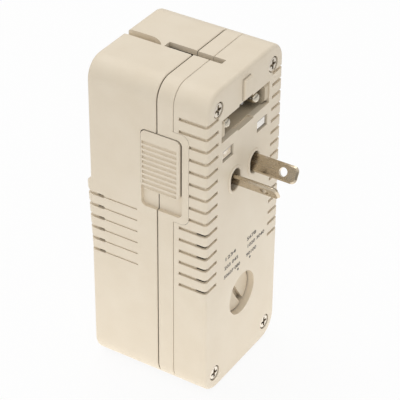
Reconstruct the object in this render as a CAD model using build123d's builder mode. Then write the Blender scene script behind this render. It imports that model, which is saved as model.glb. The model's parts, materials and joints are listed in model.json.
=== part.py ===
from build123d import *
from math import cos, radians, sin
import os

os.makedirs("parts", exist_ok=True)

# Case: across is X, depth runs from the front face towards +Y, up is Z
body_width = 48.6
body_depth = 47.2
body_height = 124.6
top_corner_radius = 7.5
bottom_corner_radius = 8.6
front_edge_radius = 1.4
rear_edge_radius = 1.2
side_wall = 2.0
front_wall = 2.2
rear_wall = 2.2
frame_seam_depth = 13.2
module_seam_depth = 19.8
module_seam_gap = 0.4
frame_seam_gap = 0.12
frame_seam_chamfer = 0.22
module_seam_chamfer = 0.25
tongue_wall = 0.9
tongue_length = 2.4
web_thickness = 2.0

# Clearances shared by all fits, and the length by which every cut overruns
slide_gap = 0.1
running_gap = 0.05
seat_gap = 0.02
window_gap = 0.25
free_gap = 0.3
overrun = 4.0

# Case screws
screw_inset_x = 6.8
screw_inset_z = 7.3
screw_head_radius = 2.65
screw_head_gap = 0.35
screw_head_height = 1.3
screw_head_sink = 0.2
screw_dome = 0.5
screw_radius = 1.45
screw_length = 15.0
screw_cross_length = 3.8
screw_cross_width = 0.95
screw_cross_depth = 0.95
screw_cross_centre_radius = 0.9
boss_radius = 3.4

# Cooling grooves at the front corners, counted down from the top
vent_count = 15
vent_pitch = 4.78
vent_high_drop = 10.68
vent_height = 1.3
vent_depth = 0.9
vent_side_end = 11.0
vent_front_reach = 7.1
vent_short_first = 2
vent_short_last = 8
vent_open_count = 6
vent_open_depth = 4.4
vent_open_reach = 3.2
vent_open_start = 0.9
vent_open_relief = 0.9

# Cooling grooves and raised outlet panel at the rear
rear_vent_count = 6
rear_vent_low_drop = 75.9
rear_vent_pitch = 4.69
rear_vent_height = 1.3
rear_vent_line_height = 0.7
rear_vent_line_depth = 0.35
rear_vent_line_start = 27.8
rear_vent_open_inset = 5.7
rear_vent_solid_inset = 2.8
rear_vent_reach = 8.0
panel_notch_flare = 0.7
panel_rise = 2.2
panel_low_rise = 0.5
panel_low_drop = 79.2
panel_top_drop = 45.5
panel_slope_height = 3.4
panel_root = 5.0
panel_side_inset = 0.2
panel_corner_radius = 2.4
panel_edge_radius = 0.6

# Slot and thumb channel in the top
slot_x = -0.9
slot_width = 3.4
slot_front_width = 2.9
slot_front_depth = 8.3
slot_rear_depth = 30.6
channel_depth = 2.2
channel_straight_depth = 38.0
channel_tip_depth = 31.8
channel_floor = 1.2
channel_rib_margin = 2.0

# Side latches, their heights set down from the top of the case
latch_pad_front = 7.0
latch_pad_low_drop = 52.1
latch_pad_high_drop = 16.3
latch_pad_radius = 3.0
recess_front = 9.7
recess_rear = 26.0
recess_low_drop = 49.8
recess_high_drop = 19.1
recess_depth = 1.3
recess_radius = 2.0
backing_floor = 1.3
backing_margin = 1.6
latch_travel = 7.0
latch_rise = 0.35
latch_bevel = 0.35
latch_gap = 0.3
latch_front_gap = 0.75
latch_radius = 1.8
rib_count = 10
rib_pitch = 1.95
rib_high_drop = 4.7
rib_groove_radius = 0.62
rib_front_border = 1.2
rib_rear_border = 0.35
stem_depth_centre = 22.4
stem_depth_width = 3.0
stem_height = 6.0
stem_drop = 31.0
keeper_depth_width = 5.6
keeper_height = 9.0
keeper_thickness = 1.2
nub_depth_centre = 14.5
nub_size = 2.2
nub_length = 1.0

# Plug heights, set down from the top of the case
uk_line_drop = 27.2
uk_pin_spacing = 22.2
uk_pin_width = 6.35
uk_pin_thickness = 4.0
uk_tip_depth = 0.5
uk_tip_chamfer = 0.7
uk_earth_rise = 19.8
uk_earth_width = 4.6
uk_earth_height = 7.6
uk_earth_proud = 1.1
uk_earth_chamfer = 0.4
uk_plate_depth = 26.7
uk_plate_thickness = 4.0
uk_plate_inset = 6.3
uk_plate_below = 3.1
uk_plate_above = 15.4
uk_head_half_width = 11.0
uk_head_top_drop = 3.1
uk_tab_width = 2.6
uk_tab_length = 3.6
uk_tab_drop = 1.8

# Round pins in their recess
euro_rise = 10.3
recess_half_width = 15.45
recess_height = 8.6
recess_notch_half_width = 4.4
recess_notch_height = 0.7
recess_lip_half_width = 5.0
recess_lip_height = 0.6
euro_pin_spacing = 19.0
euro_pin_radius = 2.0
euro_pin_length = 19.0
euro_tip_depth = 0.9
cheek_width = 2.5
cheek_sink = 0.35
cheek_radius = 2.8
euro_guide_rear = 8.6
euro_guide_inset = 6.1
euro_guide_floor = 2.2
euro_guide_roof = 1.0
euro_block_depth = 6.0
euro_rod_x = 4.5
euro_rod_radius = 0.9
euro_rod_front = 4.2

# Flat blades
blade_drop = 13.0
blade_spacing = 12.7
blade_width = 6.35
blade_thickness = 1.5
blade_reach = 17.2
blade_tail_depth = 12.4
blade_hole_radius = 1.6
blade_hole_reach = 11.8
blade_tip_radius = 2.0
blade_tip_chamfer = 0.6
blade_lean = 30.0
blade_slot_width = 6.1
blade_slot_height = 8.3
blade_rim_width = 1.05
blade_rim_rise = 0.45
blade_rim_chamfer = 0.3
hub_flange_radius = 5.2
hub_flange_depth = 2.6
hub_flange_thickness = 1.8
hub_radius = 4.4
blade_plate_depth = 4.6
blade_plate_thickness = 4.0
blade_plate_half_height = 6.8
plate_corner_radius = 1.5

# Guide rods and the frame that holds their rear ends
rod_inset = 8.5
rod_radius = 1.25
rod_boss_radius = 2.4
rod_boss_end = 4.3
rod_front = 2.5
guide_side_thickness = 1.4
guide_back_depth = 31.8
guide_back_thickness = 1.7
guide_low_drop = 49.6
guide_high_drop = 11.4
guide_top_drop = 4.4
guide_top_half_width = 12.5
guide_lug_width = 8.0
guide_lug_height = 6.0
guide_lug_thickness = 2.0
guide_lug_offset = 14.0
lug_screw_radius = 1.0
lug_screw_head_radius = 1.9
lug_screw_head_height = 1.2
lug_screw_length = 3.6

# Supply bars between the two plug carriages, and the contacts that wipe on them
bar_rise = 4.6
bar_inner_x = 5.5
bar_outer_x = 13.5
bar_thickness = 0.8
bar_front_depth = 3.6
bar_rear_depth = 36.0
contact_inner_x = 8.0
contact_outer_x = 12.0
contact_gap = 0.1

# Selector dial
dial_x = 0.3
dial_z = 32.0
dial_radius = 8.2
dial_hole_gap = 0.2
dial_sink = 2.5
dial_face_thickness = 3.1
dial_collar_wall = 1.6
dial_flange_radius = 9.3
dial_flange_thickness = 1.0
dial_slot_width = 2.1
dial_slot_depth = 2.3
dial_slot_lean = 30.0
dial_dish_depth = 0.8
dial_dish_rim_radius = 7.2
dial_edge_radius = 0.5
shaft_radius = 2.6
shaft_end = 14.6
rotor_depth = 7.6
rotor_thickness = 2.0
rotor_radius = 7.2
wiper_length = 11.0
wiper_width = 3.0
wiper_thickness = 0.5
switch_front = 10.6
switch_half_width = 10.5
switch_half_height = 10.5
switch_bore_depth = 4.5
terminal_width = 4.8
terminal_thickness = 0.8
terminal_length = 5.0
terminal_spacing = 7.0

# Printed circuit board and what it carries
board_front = 21.9
board_thickness = 1.6
board_inset = 4.9
board_low_z = 6.0
board_high_drop = 56.6
board_post_radius = 2.2
board_post_inset = 2.8
board_screw_radius = 1.0
board_screw_head_radius = 1.8
board_screw_head_height = 1.1
board_screw_length = 3.8
core_width = 34.0
core_low_z = 8.0
core_high_gap = 5.5
core_front = 29.0
core_rear_gap = 6.0
core_window_width = 5.7
core_window_share = 0.6
bobbin_wall = 0.7
bobbin_flange = 0.9
winding_build = 4.4
bobbin_leg_width = 3.0
bobbin_leg_height = 2.0
sink_low_drop = 78.1
sink_high_drop = 54.2
sink_base_depth = 28.3
sink_base_thickness = 1.6
sink_inset = 5.7
sink_fin_thickness = 1.2
sink_fin_pitch = 2.4
sink_fin_count = 2
sink_fin_length = 6.8
sink_leg_width = 1.6
triac_width = 10.0
triac_height = 9.0
triac_thickness = 4.3
triac_tab_height = 6.0
triac_tab_thickness = 1.3
triac_drop = 71.6
capacitor_width = 13.0
capacitor_height = 5.5
capacitor_length = 9.0
capacitor_x = -11.0
small_part_drop = 83.1
fuse_radius = 2.5
fuse_length = 20.0
fuse_cap_length = 5.0
fuse_x = 8.0
fuse_height = 4.2
clip_width = 3.0
clip_wall = 0.5
cutout_width = 9.0
cutout_height = 5.0
cutout_length = 3.6
cutout_x = 11.5
cutout_drop = 64.6
link_x = 12.0
link_drop = 59.4
link_radius = 1.2
link_socket_radius = 1.9
link_pin_front = 14.4
link_pin_rear = 21.6

# Rear outlet
outlet_drop = 61.1
outlet_half_width = 13.2
outlet_half_height = 8.3
outlet_radius = 1.5
outlet_rise = 0.7
outlet_front_gap = 3.0
outlet_flange = 1.4
outlet_flange_thickness = 1.2
outlet_slot_width = 2.0
outlet_slot_height = 7.6
outlet_face_thickness = 1.8
outlet_cell_width = 5.6
outlet_cell_height = 11.0
outlet_back = 1.4
leaf_thickness = 0.5
leaf_gap = 1.3
leaf_height = 8.0

# Worked out from the values above
half_width = body_width / 2
module_front_rear = module_seam_depth - module_seam_gap
web_front = module_front_rear - web_thickness
screw_x = half_width - screw_inset_x
screw_levels = (screw_inset_z, body_height - screw_inset_z)
uk_z = body_height - uk_line_drop
earth_z = uk_z + uk_earth_rise
euro_z = uk_z + euro_rise
blade_z = uk_z - blade_drop
bar_z = uk_z - bar_rise
backing_x = half_width - recess_depth - backing_floor
floor_x = half_width - recess_depth
euro_block_front = euro_tip_depth + euro_pin_length
inner_top = body_height - side_wall
inner_rear = body_depth - rear_wall
uk_plate_half_width = half_width - uk_plate_inset
rod_x = half_width - rod_inset
euro_guide_half_width = half_width - euro_guide_inset
guide_side_x = uk_plate_half_width + free_gap
vent_high_z = body_height - vent_high_drop
vent_levels = [vent_high_z - level * vent_pitch for level in range(vent_count)]
rear_vent_low_z = body_height - rear_vent_low_drop
rear_vent_levels = [rear_vent_low_z + level * rear_vent_pitch for level in range(rear_vent_count)]
rear_vent_open_start = body_depth - rear_vent_open_inset
panel_low_z = body_height - panel_low_drop
panel_top_z = body_height - panel_top_drop
latch_pad_low_z = body_height - latch_pad_low_drop
latch_pad_high_z = body_height - latch_pad_high_drop
recess_low_z = body_height - recess_low_drop
recess_high_z = body_height - recess_high_drop
stem_z = body_height - stem_drop
link_z = body_height - link_drop
board_half_width = half_width - board_inset
board_high_z = body_height - board_high_drop
small_part_z = body_height - small_part_drop
core_height = small_part_z - core_high_gap - core_low_z
core_window_height = core_height * core_window_share
core_stack = inner_rear - core_rear_gap - core_front
sink_half_width = half_width - sink_inset
sink_low_z = body_height - sink_low_drop
sink_high_z = body_height - sink_high_drop
sink_rear = sink_base_depth + sink_base_thickness
triac_z = body_height - triac_drop
cutout_z = body_height - cutout_drop
outlet_z = body_height - outlet_drop
outlet_front = sink_rear + outlet_front_gap


def face(depth):
    """Upright plane at a distance behind the front face, drawn as seen from the front."""
    return Plane.XZ.offset(body_depth / 2 - depth)


def case_outline(inset):
    """Rounded outline of the case, drawn smaller all round by the inset."""
    with BuildSketch() as outline:
        with Locations((0, body_height / 2)):
            Rectangle(body_width - 2 * inset, body_height - 2 * inset)
        fillet(outline.vertices().group_by(Axis.Y)[-1], top_corner_radius - inset)
        fillet(outline.vertices().group_by(Axis.Y)[0], bottom_corner_radius - inset)
    return outline.sketch


def case_layer(inset, depth_low, depth_high):
    """Solid layer of the case outline between two depths."""
    with BuildPart() as layer:
        with BuildSketch(face(depth_low)):
            add(case_outline(inset))
        extrude(amount=depth_low - depth_high)
    return layer.part


def block(x_low, x_high, depth_low, depth_high, z_low, z_high, radius=0):
    """Block by its limits across, in depth and in height, with rounded upright corners."""
    with BuildPart() as piece:
        with BuildSketch(face(depth_low)) as profile:
            with Locations(((x_low + x_high) / 2, (z_low + z_high) / 2)):
                Rectangle(x_high - x_low, z_high - z_low)
            if radius > 0:
                fillet(profile.vertices(), radius)
        extrude(amount=depth_low - depth_high)
    return piece.part


def side_block(side, x_in, x_out, depth_low, depth_high, z_low, z_high):
    """Block on one side of the middle, between two distances from it."""
    limits = sorted((side * x_in, side * x_out))
    return block(limits[0], limits[1], depth_low, depth_high, z_low, z_high)


def side_plate(side, x_in, x_out, depth_low, depth_high, z_low, z_high, radius):
    """Block on one side with its corners rounded as seen from that side."""
    front = -body_depth / 2
    with BuildPart() as piece:
        with BuildSketch(Plane.YZ.offset(side * x_in)) as profile:
            with Locations((front + (depth_low + depth_high) / 2, (z_low + z_high) / 2)):
                Rectangle(depth_high - depth_low, z_high - z_low)
            fillet(profile.vertices(), radius)
        extrude(amount=side * (x_out - x_in))
    return piece.part


def rod(radius, x, z, depth_low, depth_high):
    """Round bar along the depth."""
    with BuildPart() as bar:
        with BuildSketch(face(depth_low)):
            with Locations((x, z)):
                Circle(radius)
        extrude(amount=depth_low - depth_high)
    return bar.part


def tube(outer, inner, x, z, depth_low, depth_high):
    """Round tube along the depth."""
    with BuildPart() as sleeve:
        with BuildSketch(face(depth_low)):
            with Locations((x, z)):
                Circle(outer)
                Circle(inner, mode=Mode.SUBTRACT)
        extrude(amount=depth_low - depth_high)
    return sleeve.part


def corner_groove(side, z, height, side_end, cut_depth, reach):
    """Groove that runs round one front corner, from the side onto the front face."""
    front = -body_depth / 2
    outside = side * (half_width + overrun)
    floor = side * (half_width - cut_depth)
    with BuildPart() as groove:
        with BuildSketch(Plane.XY.offset(z - height / 2)):
            with BuildLine():
                Polyline(
                    (outside, front + side_end),
                    (floor, front + side_end),
                    (floor, front + cut_depth),
                    (side * (half_width - reach), front + cut_depth),
                    (side * (half_width - reach), front - overrun),
                    (outside, front - overrun),
                    close=True,
                )
            make_face()
        extrude(amount=height)
    return groove.part


def panel_notch(side, z):
    """Cut across one end of the raised panel at the rear, wider at its open side."""
    rear = body_depth / 2
    half_low = rear_vent_height / 2
    half_high = half_low + panel_notch_flare
    with BuildPart() as notch:
        with BuildSketch(Plane.YZ.offset(side * (half_width - rear_vent_reach))):
            with BuildLine():
                Polyline(
                    (rear, z - half_low),
                    (rear + panel_rise, z - half_high),
                    (rear + panel_rise + overrun, z - half_high),
                    (rear + panel_rise + overrun, z + half_high),
                    (rear + panel_rise, z + half_high),
                    (rear, z + half_low),
                    close=True,
                )
            make_face()
        extrude(amount=side * (rear_vent_reach + overrun))
    return notch.part


def latch_window(side, margin, depth_low, depth_high):
    """Thick patch behind a latch recess, between two depths."""
    return side_block(
        side,
        backing_x,
        half_width - side_wall / 2,
        depth_low,
        depth_high,
        recess_low_z - margin,
        recess_high_z + margin,
    )


def latch_recess(side):
    """Space in which a latch slides."""
    return side_plate(
        side,
        floor_x,
        half_width + overrun,
        recess_front,
        recess_rear,
        recess_low_z,
        recess_high_z,
        recess_radius,
    )


def top_slot(width, depth_low, depth_high):
    """Cut through the top wall for the tab of the rectangular pins."""
    return block(
        slot_x - width / 2,
        slot_x + width / 2,
        depth_low,
        depth_high,
        inner_top - overrun,
        body_height + overrun,
    )


# Front shell: face with all pin windows, the dial hole and the corner grooves
with BuildPart() as front_shell:
    add(case_layer(0, 0, frame_seam_depth - frame_seam_gap))
    fillet(front_shell.faces().sort_by(Axis.Y)[0].edges(), front_edge_radius)
    chamfer(front_shell.faces().sort_by(Axis.Y)[-1].edges(), frame_seam_chamfer)
    add(case_layer(side_wall, front_wall, frame_seam_depth + overrun), mode=Mode.SUBTRACT)
    for z in screw_levels:
        for side in (-1, 1):
            add(rod(boss_radius, side * screw_x, z, front_wall / 2, frame_seam_depth))
    add(
        tube(
            dial_radius + dial_hole_gap + dial_collar_wall,
            dial_radius + dial_hole_gap,
            dial_x,
            dial_z,
            front_wall / 2,
            dial_sink + dial_face_thickness,
        )
    )
    for side in (-1, 1):
        add(rod(rod_boss_radius, side * rod_x, blade_z, front_wall / 2, rod_boss_end))
    # Corner grooves, the lowest ones open through the wall, with a step down behind their floor
    for level, z in enumerate(vent_levels):
        short = vent_short_first <= level <= vent_short_last
        groove_end = latch_pad_front + slide_gap if short else vent_side_end
        for side in (-1, 1):
            add(
                corner_groove(side, z, vent_height, groove_end, vent_depth, vent_front_reach),
                mode=Mode.SUBTRACT,
            )
            if level >= vent_count - vent_open_count:
                add(
                    side_block(
                        side,
                        half_width - vent_open_reach,
                        half_width - vent_depth,
                        vent_open_start,
                        vent_open_depth,
                        z - vent_height / 2 - vent_open_relief,
                        z + vent_height / 2,
                    ),
                    mode=Mode.SUBTRACT,
                )
    # Notches for the latch pads of the middle frame
    for side in (-1, 1):
        add(
            side_plate(
                side,
                half_width - side_wall - overrun / 2,
                half_width + overrun,
                latch_pad_front,
                frame_seam_depth + latch_pad_radius + overrun,
                latch_pad_low_z,
                latch_pad_high_z,
                latch_pad_radius,
            ),
            mode=Mode.SUBTRACT,
        )
    # Screw holes with room for the heads
    for z in screw_levels:
        for side in (-1, 1):
            add(
                rod(screw_head_radius + screw_head_gap, side * screw_x, z, -overrun,
                    screw_head_height + screw_head_sink + running_gap),
                mode=Mode.SUBTRACT,
            )
            add(
                rod(screw_radius + window_gap, side * screw_x, z, 0, frame_seam_depth + overrun),
                mode=Mode.SUBTRACT,
            )
    # Raised rims for the blade slots
    with BuildSketch(face(-blade_rim_rise)):
        with Locations((-blade_spacing / 2, blade_z), (blade_spacing / 2, blade_z)):
            SlotOverall(blade_slot_height + 2 * blade_rim_width,
                        blade_slot_width + 2 * blade_rim_width, rotation=90)
    extrude(amount=-(blade_rim_rise + front_wall / 2))
    # Dial hole, blade slots and windows for the other pins
    add(
        rod(dial_radius + dial_hole_gap, dial_x, dial_z, -overrun, front_wall + overrun / 4),
        mode=Mode.SUBTRACT,
    )
    with BuildSketch(face(-overrun)):
        with Locations((-blade_spacing / 2, blade_z), (blade_spacing / 2, blade_z)):
            SlotOverall(blade_slot_height, blade_slot_width, rotation=90)
        with Locations((-uk_pin_spacing / 2, uk_z), (uk_pin_spacing / 2, uk_z)):
            Rectangle(uk_pin_width + 2 * window_gap, uk_pin_thickness + 2 * window_gap)
        with Locations((0, earth_z)):
            Rectangle(uk_earth_width + 2 * window_gap, uk_earth_height + 2 * window_gap)
        with Locations((0, euro_z)):
            Rectangle(2 * recess_half_width, recess_height)
        with Locations((0, euro_z + recess_height / 2)):
            Rectangle(2 * recess_notch_half_width, 2 * recess_notch_height)
        with Locations((0, euro_z - recess_height / 2)):
            Rectangle(2 * recess_lip_half_width, 2 * recess_lip_height)
    extrude(amount=-(front_wall + overrun + seat_gap), mode=Mode.SUBTRACT)
    slot_rims = front_shell.edges().filter_by(
        lambda edge: abs(edge.center().Y + body_depth / 2 + blade_rim_rise) < seat_gap
    )
    chamfer(slot_rims, blade_rim_chamfer)
    for side in (-1, 1):
        add(
            rod(rod_radius + seat_gap, side * rod_x, blade_z, rod_front, rod_boss_end + overrun),
            mode=Mode.SUBTRACT,
        )
    add(top_slot(slot_front_width, slot_front_depth, frame_seam_depth + overrun), mode=Mode.SUBTRACT)
front_shell.part.label = "front_shell"
export_step(front_shell.part, "parts/front_shell.step")

# Middle frame: ring with a bulkhead, screw bosses and the two latch pads
with BuildPart() as middle_frame:
    add(case_layer(0, frame_seam_depth, module_front_rear))
    chamfer(middle_frame.faces().sort_by(Axis.Y)[0].edges(), frame_seam_chamfer)
    chamfer(middle_frame.faces().sort_by(Axis.Y)[-1].edges(), module_seam_chamfer)
    add(case_layer(side_wall, frame_seam_depth - overrun, module_front_rear + overrun),
        mode=Mode.SUBTRACT)
    add(case_layer(side_wall + slide_gap, module_front_rear - web_thickness,
                   module_front_rear + tongue_length))
    add(case_layer(side_wall / 2, web_front, module_front_rear))
    add(case_layer(side_wall + slide_gap + tongue_wall, module_front_rear,
                   module_front_rear + tongue_length + overrun), mode=Mode.SUBTRACT)
    for z in screw_levels:
        for side in (-1, 1):
            add(rod(boss_radius, side * screw_x, z, frame_seam_depth, web_front))
    for side in (-1, 1):
        # Pad that reaches forward into the front shell, with its thick backing
        add(
            side_plate(
                side,
                backing_x,
                half_width,
                latch_pad_front + slide_gap,
                module_front_rear - module_seam_chamfer,
                latch_pad_low_z + slide_gap,
                latch_pad_high_z - slide_gap,
                latch_pad_radius,
            )
        )
        add(latch_window(side, backing_margin, recess_front - backing_margin / 2, module_front_rear))
        # The tongue stops where the rear shell has its own backing
        add(
            side_block(
                side,
                backing_x - keeper_thickness - 2 * free_gap,
                half_width - side_wall + slide_gap,
                module_front_rear,
                module_front_rear + tongue_length + overrun,
                recess_low_z - backing_margin - free_gap,
                recess_high_z + backing_margin + free_gap,
            ),
            mode=Mode.SUBTRACT,
        )
        add(latch_recess(side), mode=Mode.SUBTRACT)
        # Hooked way for the latch nub: down, then back to the seam
        add(
            side_block(
                side,
                backing_x - overrun,
                floor_x + overrun,
                nub_depth_centre - nub_size / 2 - free_gap,
                nub_depth_centre + nub_size / 2 + free_gap,
                stem_z - nub_size / 2 - latch_travel - free_gap,
                stem_z + nub_size / 2 + free_gap,
            ),
            mode=Mode.SUBTRACT,
        )
        add(
            side_block(
                side,
                backing_x - overrun,
                floor_x + overrun,
                nub_depth_centre,
                module_front_rear + overrun,
                stem_z - nub_size / 2 - latch_travel - free_gap,
                stem_z + nub_size / 2 - latch_travel + free_gap,
            ),
            mode=Mode.SUBTRACT,
        )
    # Opening in the bulkhead through which the plug carriages move
    add(
        block(-guide_side_x - free_gap, guide_side_x + free_gap, web_front - overrun / 2,
              module_front_rear + overrun, body_height - guide_low_drop,
              euro_z + recess_height / 2 + euro_guide_roof + free_gap),
        mode=Mode.SUBTRACT,
    )
    add(
        block(-guide_top_half_width, guide_top_half_width, web_front - overrun / 2,
              module_front_rear + overrun, uk_z, inner_top),
        mode=Mode.SUBTRACT,
    )
    add(top_slot(slot_front_width, frame_seam_depth - overrun, module_front_rear + overrun),
        mode=Mode.SUBTRACT)
    # Posts for the circuit board, holes for the link pins and the screws
    for z in (board_low_z + board_post_inset, board_high_z - board_post_inset):
        for side in (-1, 1):
            post_x = side * (board_half_width - board_post_inset)
            add(rod(board_post_radius, post_x, z, module_front_rear - seat_gap, board_front))
            add(
                rod(board_screw_radius + seat_gap, post_x, z, module_front_rear, board_front + overrun),
                mode=Mode.SUBTRACT,
            )
    for side in (-1, 1):
        add(
            rod(link_radius + seat_gap, side * link_x, link_z, web_front - overrun,
                module_front_rear + overrun),
            mode=Mode.SUBTRACT,
        )
        add(
            rod(lug_screw_radius + seat_gap, side * guide_lug_offset,
                body_height - guide_low_drop - guide_lug_height / 2,
                web_front - overrun, module_front_rear + overrun),
            mode=Mode.SUBTRACT,
        )
    for z in screw_levels:
        for side in (-1, 1):
            add(
                rod(screw_radius + seat_gap, side * screw_x, z, frame_seam_depth - overrun,
                    screw_head_sink + screw_head_height + screw_length + free_gap),
                mode=Mode.SUBTRACT,
            )
middle_frame.part.label = "middle_frame"
export_step(middle_frame.part, "parts/middle_frame.step")

# Rear shell: deep cover with the raised outlet panel, rear grooves and thumb channel
with BuildPart() as rear_shell:
    add(case_layer(0, module_seam_depth, body_depth))
    fillet(rear_shell.faces().sort_by(Axis.Y)[-1].edges(), rear_edge_radius)
    chamfer(rear_shell.faces().sort_by(Axis.Y)[0].edges(), module_seam_chamfer)
    with BuildPart(mode=Mode.PRIVATE) as panel:
        with BuildSketch(Plane.YZ.offset(-half_width + panel_side_inset)):
            rear = body_depth / 2
            with BuildLine():
                Polyline(
                    (rear - panel_root, panel_low_z),
                    (rear + panel_low_rise, panel_low_z),
                    (rear + panel_rise, panel_top_z - panel_slope_height),
                    (rear - panel_root, panel_top_z + panel_root),
                    close=True,
                )
            make_face()
        extrude(amount=body_width - 2 * panel_side_inset)
        panel_ends = panel.faces().sort_by(Axis.Y)[-1].edges().filter_by(Axis.X, reverse=True)
        fillet(panel_ends, panel_corner_radius)
        fillet(panel.faces().sort_by(Axis.Y)[-1].edges(), panel_edge_radius)
    add(panel.part)
    add(case_layer(side_wall, module_seam_depth - overrun, inner_rear), mode=Mode.SUBTRACT)
    # Thick strip under the thumb channel
    add(
        block(slot_x - slot_width / 2 - channel_rib_margin, slot_x + slot_width / 2 + channel_rib_margin,
              slot_rear_depth + channel_floor, inner_rear + rear_wall / 2,
              body_height - channel_depth - channel_floor, inner_top + side_wall / 4)
    )
    add(top_slot(slot_width, module_seam_depth - overrun, slot_rear_depth), mode=Mode.SUBTRACT)
    with BuildSketch(Plane.XY.offset(body_height - channel_depth)):
        with BuildLine():
            front = -body_depth / 2
            lip_left = slot_x - slot_width / 2
            lip_right = slot_x + slot_width / 2
            Line((lip_left, front + channel_tip_depth), (lip_left, body_depth / 2 + overrun))
            Line((lip_left, body_depth / 2 + overrun), (lip_right, body_depth / 2 + overrun))
            Line((lip_right, body_depth / 2 + overrun), (lip_right, front + channel_straight_depth))
            TangentArc(
                (lip_right, front + channel_straight_depth),
                (lip_left, front + channel_tip_depth),
                tangent=(0, -1),
            )
        make_face()
    extrude(amount=channel_depth + overrun, mode=Mode.SUBTRACT)
    # Latch recesses in their thick patches, with the ways for the stems
    for side in (-1, 1):
        add(latch_window(side, backing_margin, module_seam_depth, recess_rear + backing_margin))
        add(latch_recess(side), mode=Mode.SUBTRACT)
        add(
            side_block(
                side,
                backing_x - overrun / 2,
                floor_x + overrun,
                stem_depth_centre - stem_depth_width / 2 - slide_gap,
                stem_depth_centre + stem_depth_width / 2 + slide_gap,
                stem_z - stem_height / 2 - latch_travel - free_gap,
                stem_z + stem_height / 2 + free_gap,
            ),
            mode=Mode.SUBTRACT,
        )
    # Rear corner grooves: thin lines along the side, open slits, cuts across the panel ends
    for z in rear_vent_levels:
        for side in (-1, 1):
            add(
                side_block(
                    side,
                    half_width - rear_vent_line_depth,
                    half_width + overrun,
                    rear_vent_line_start,
                    rear_vent_open_start + overrun / 4,
                    z - rear_vent_line_height / 2,
                    z + rear_vent_line_height / 2,
                ),
                mode=Mode.SUBTRACT,
            )
            add(
                side_block(
                    side,
                    half_width - side_wall - panel_side_inset - overrun / 4,
                    half_width + overrun,
                    rear_vent_open_start,
                    body_depth - rear_vent_solid_inset,
                    z - rear_vent_height / 2,
                    z + rear_vent_height / 2,
                ),
                mode=Mode.SUBTRACT,
            )
            add(panel_notch(side, z), mode=Mode.SUBTRACT)
            add(
                side_block(
                    side,
                    half_width - vent_depth,
                    half_width + overrun,
                    rear_vent_open_start,
                    body_depth + panel_rise + overrun,
                    z - rear_vent_height / 2,
                    z + rear_vent_height / 2,
                ),
                mode=Mode.SUBTRACT,
            )
    # Hole for the outlet insert
    add(
        block(-outlet_half_width, outlet_half_width, inner_rear - overrun,
              body_depth + panel_rise + overrun, outlet_z - outlet_half_height,
              outlet_z + outlet_half_height, outlet_radius),
        mode=Mode.SUBTRACT,
    )
rear_shell.part.label = "rear_shell"
export_step(rear_shell.part, "parts/rear_shell.step")

# Case screws with domed cross-slot heads
with BuildPart() as face_screws:
    for z in screw_levels:
        for side in (-1, 1):
            head_top = screw_head_sink
            head_end = screw_head_sink + screw_head_height
            with BuildPart(mode=Mode.PRIVATE) as screw:
                add(rod(screw_head_radius, side * screw_x, z, head_top, head_end))
                fillet(screw.faces().sort_by(Axis.Y)[0].edges(), screw_dome)
                add(rod(screw_radius, side * screw_x, z, head_end, head_end + screw_length))
                add(
                    rod(screw_cross_centre_radius, side * screw_x, z, head_top - overrun,
                        head_top + screw_cross_depth),
                    mode=Mode.SUBTRACT,
                )
                for long_x, long_z in ((1, 0), (0, 1)):
                    reach_x = (screw_cross_length if long_x else screw_cross_width) / 2
                    reach_z = (screw_cross_length if long_z else screw_cross_width) / 2
                    add(
                        block(side * screw_x - reach_x, side * screw_x + reach_x,
                              head_top - overrun, head_top + screw_cross_depth,
                              z - reach_z, z + reach_z),
                        mode=Mode.SUBTRACT,
                    )
            add(screw.part)
face_screws.part.label = "face_screws"
export_step(face_screws.part, "parts/face_screws.step")

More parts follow.
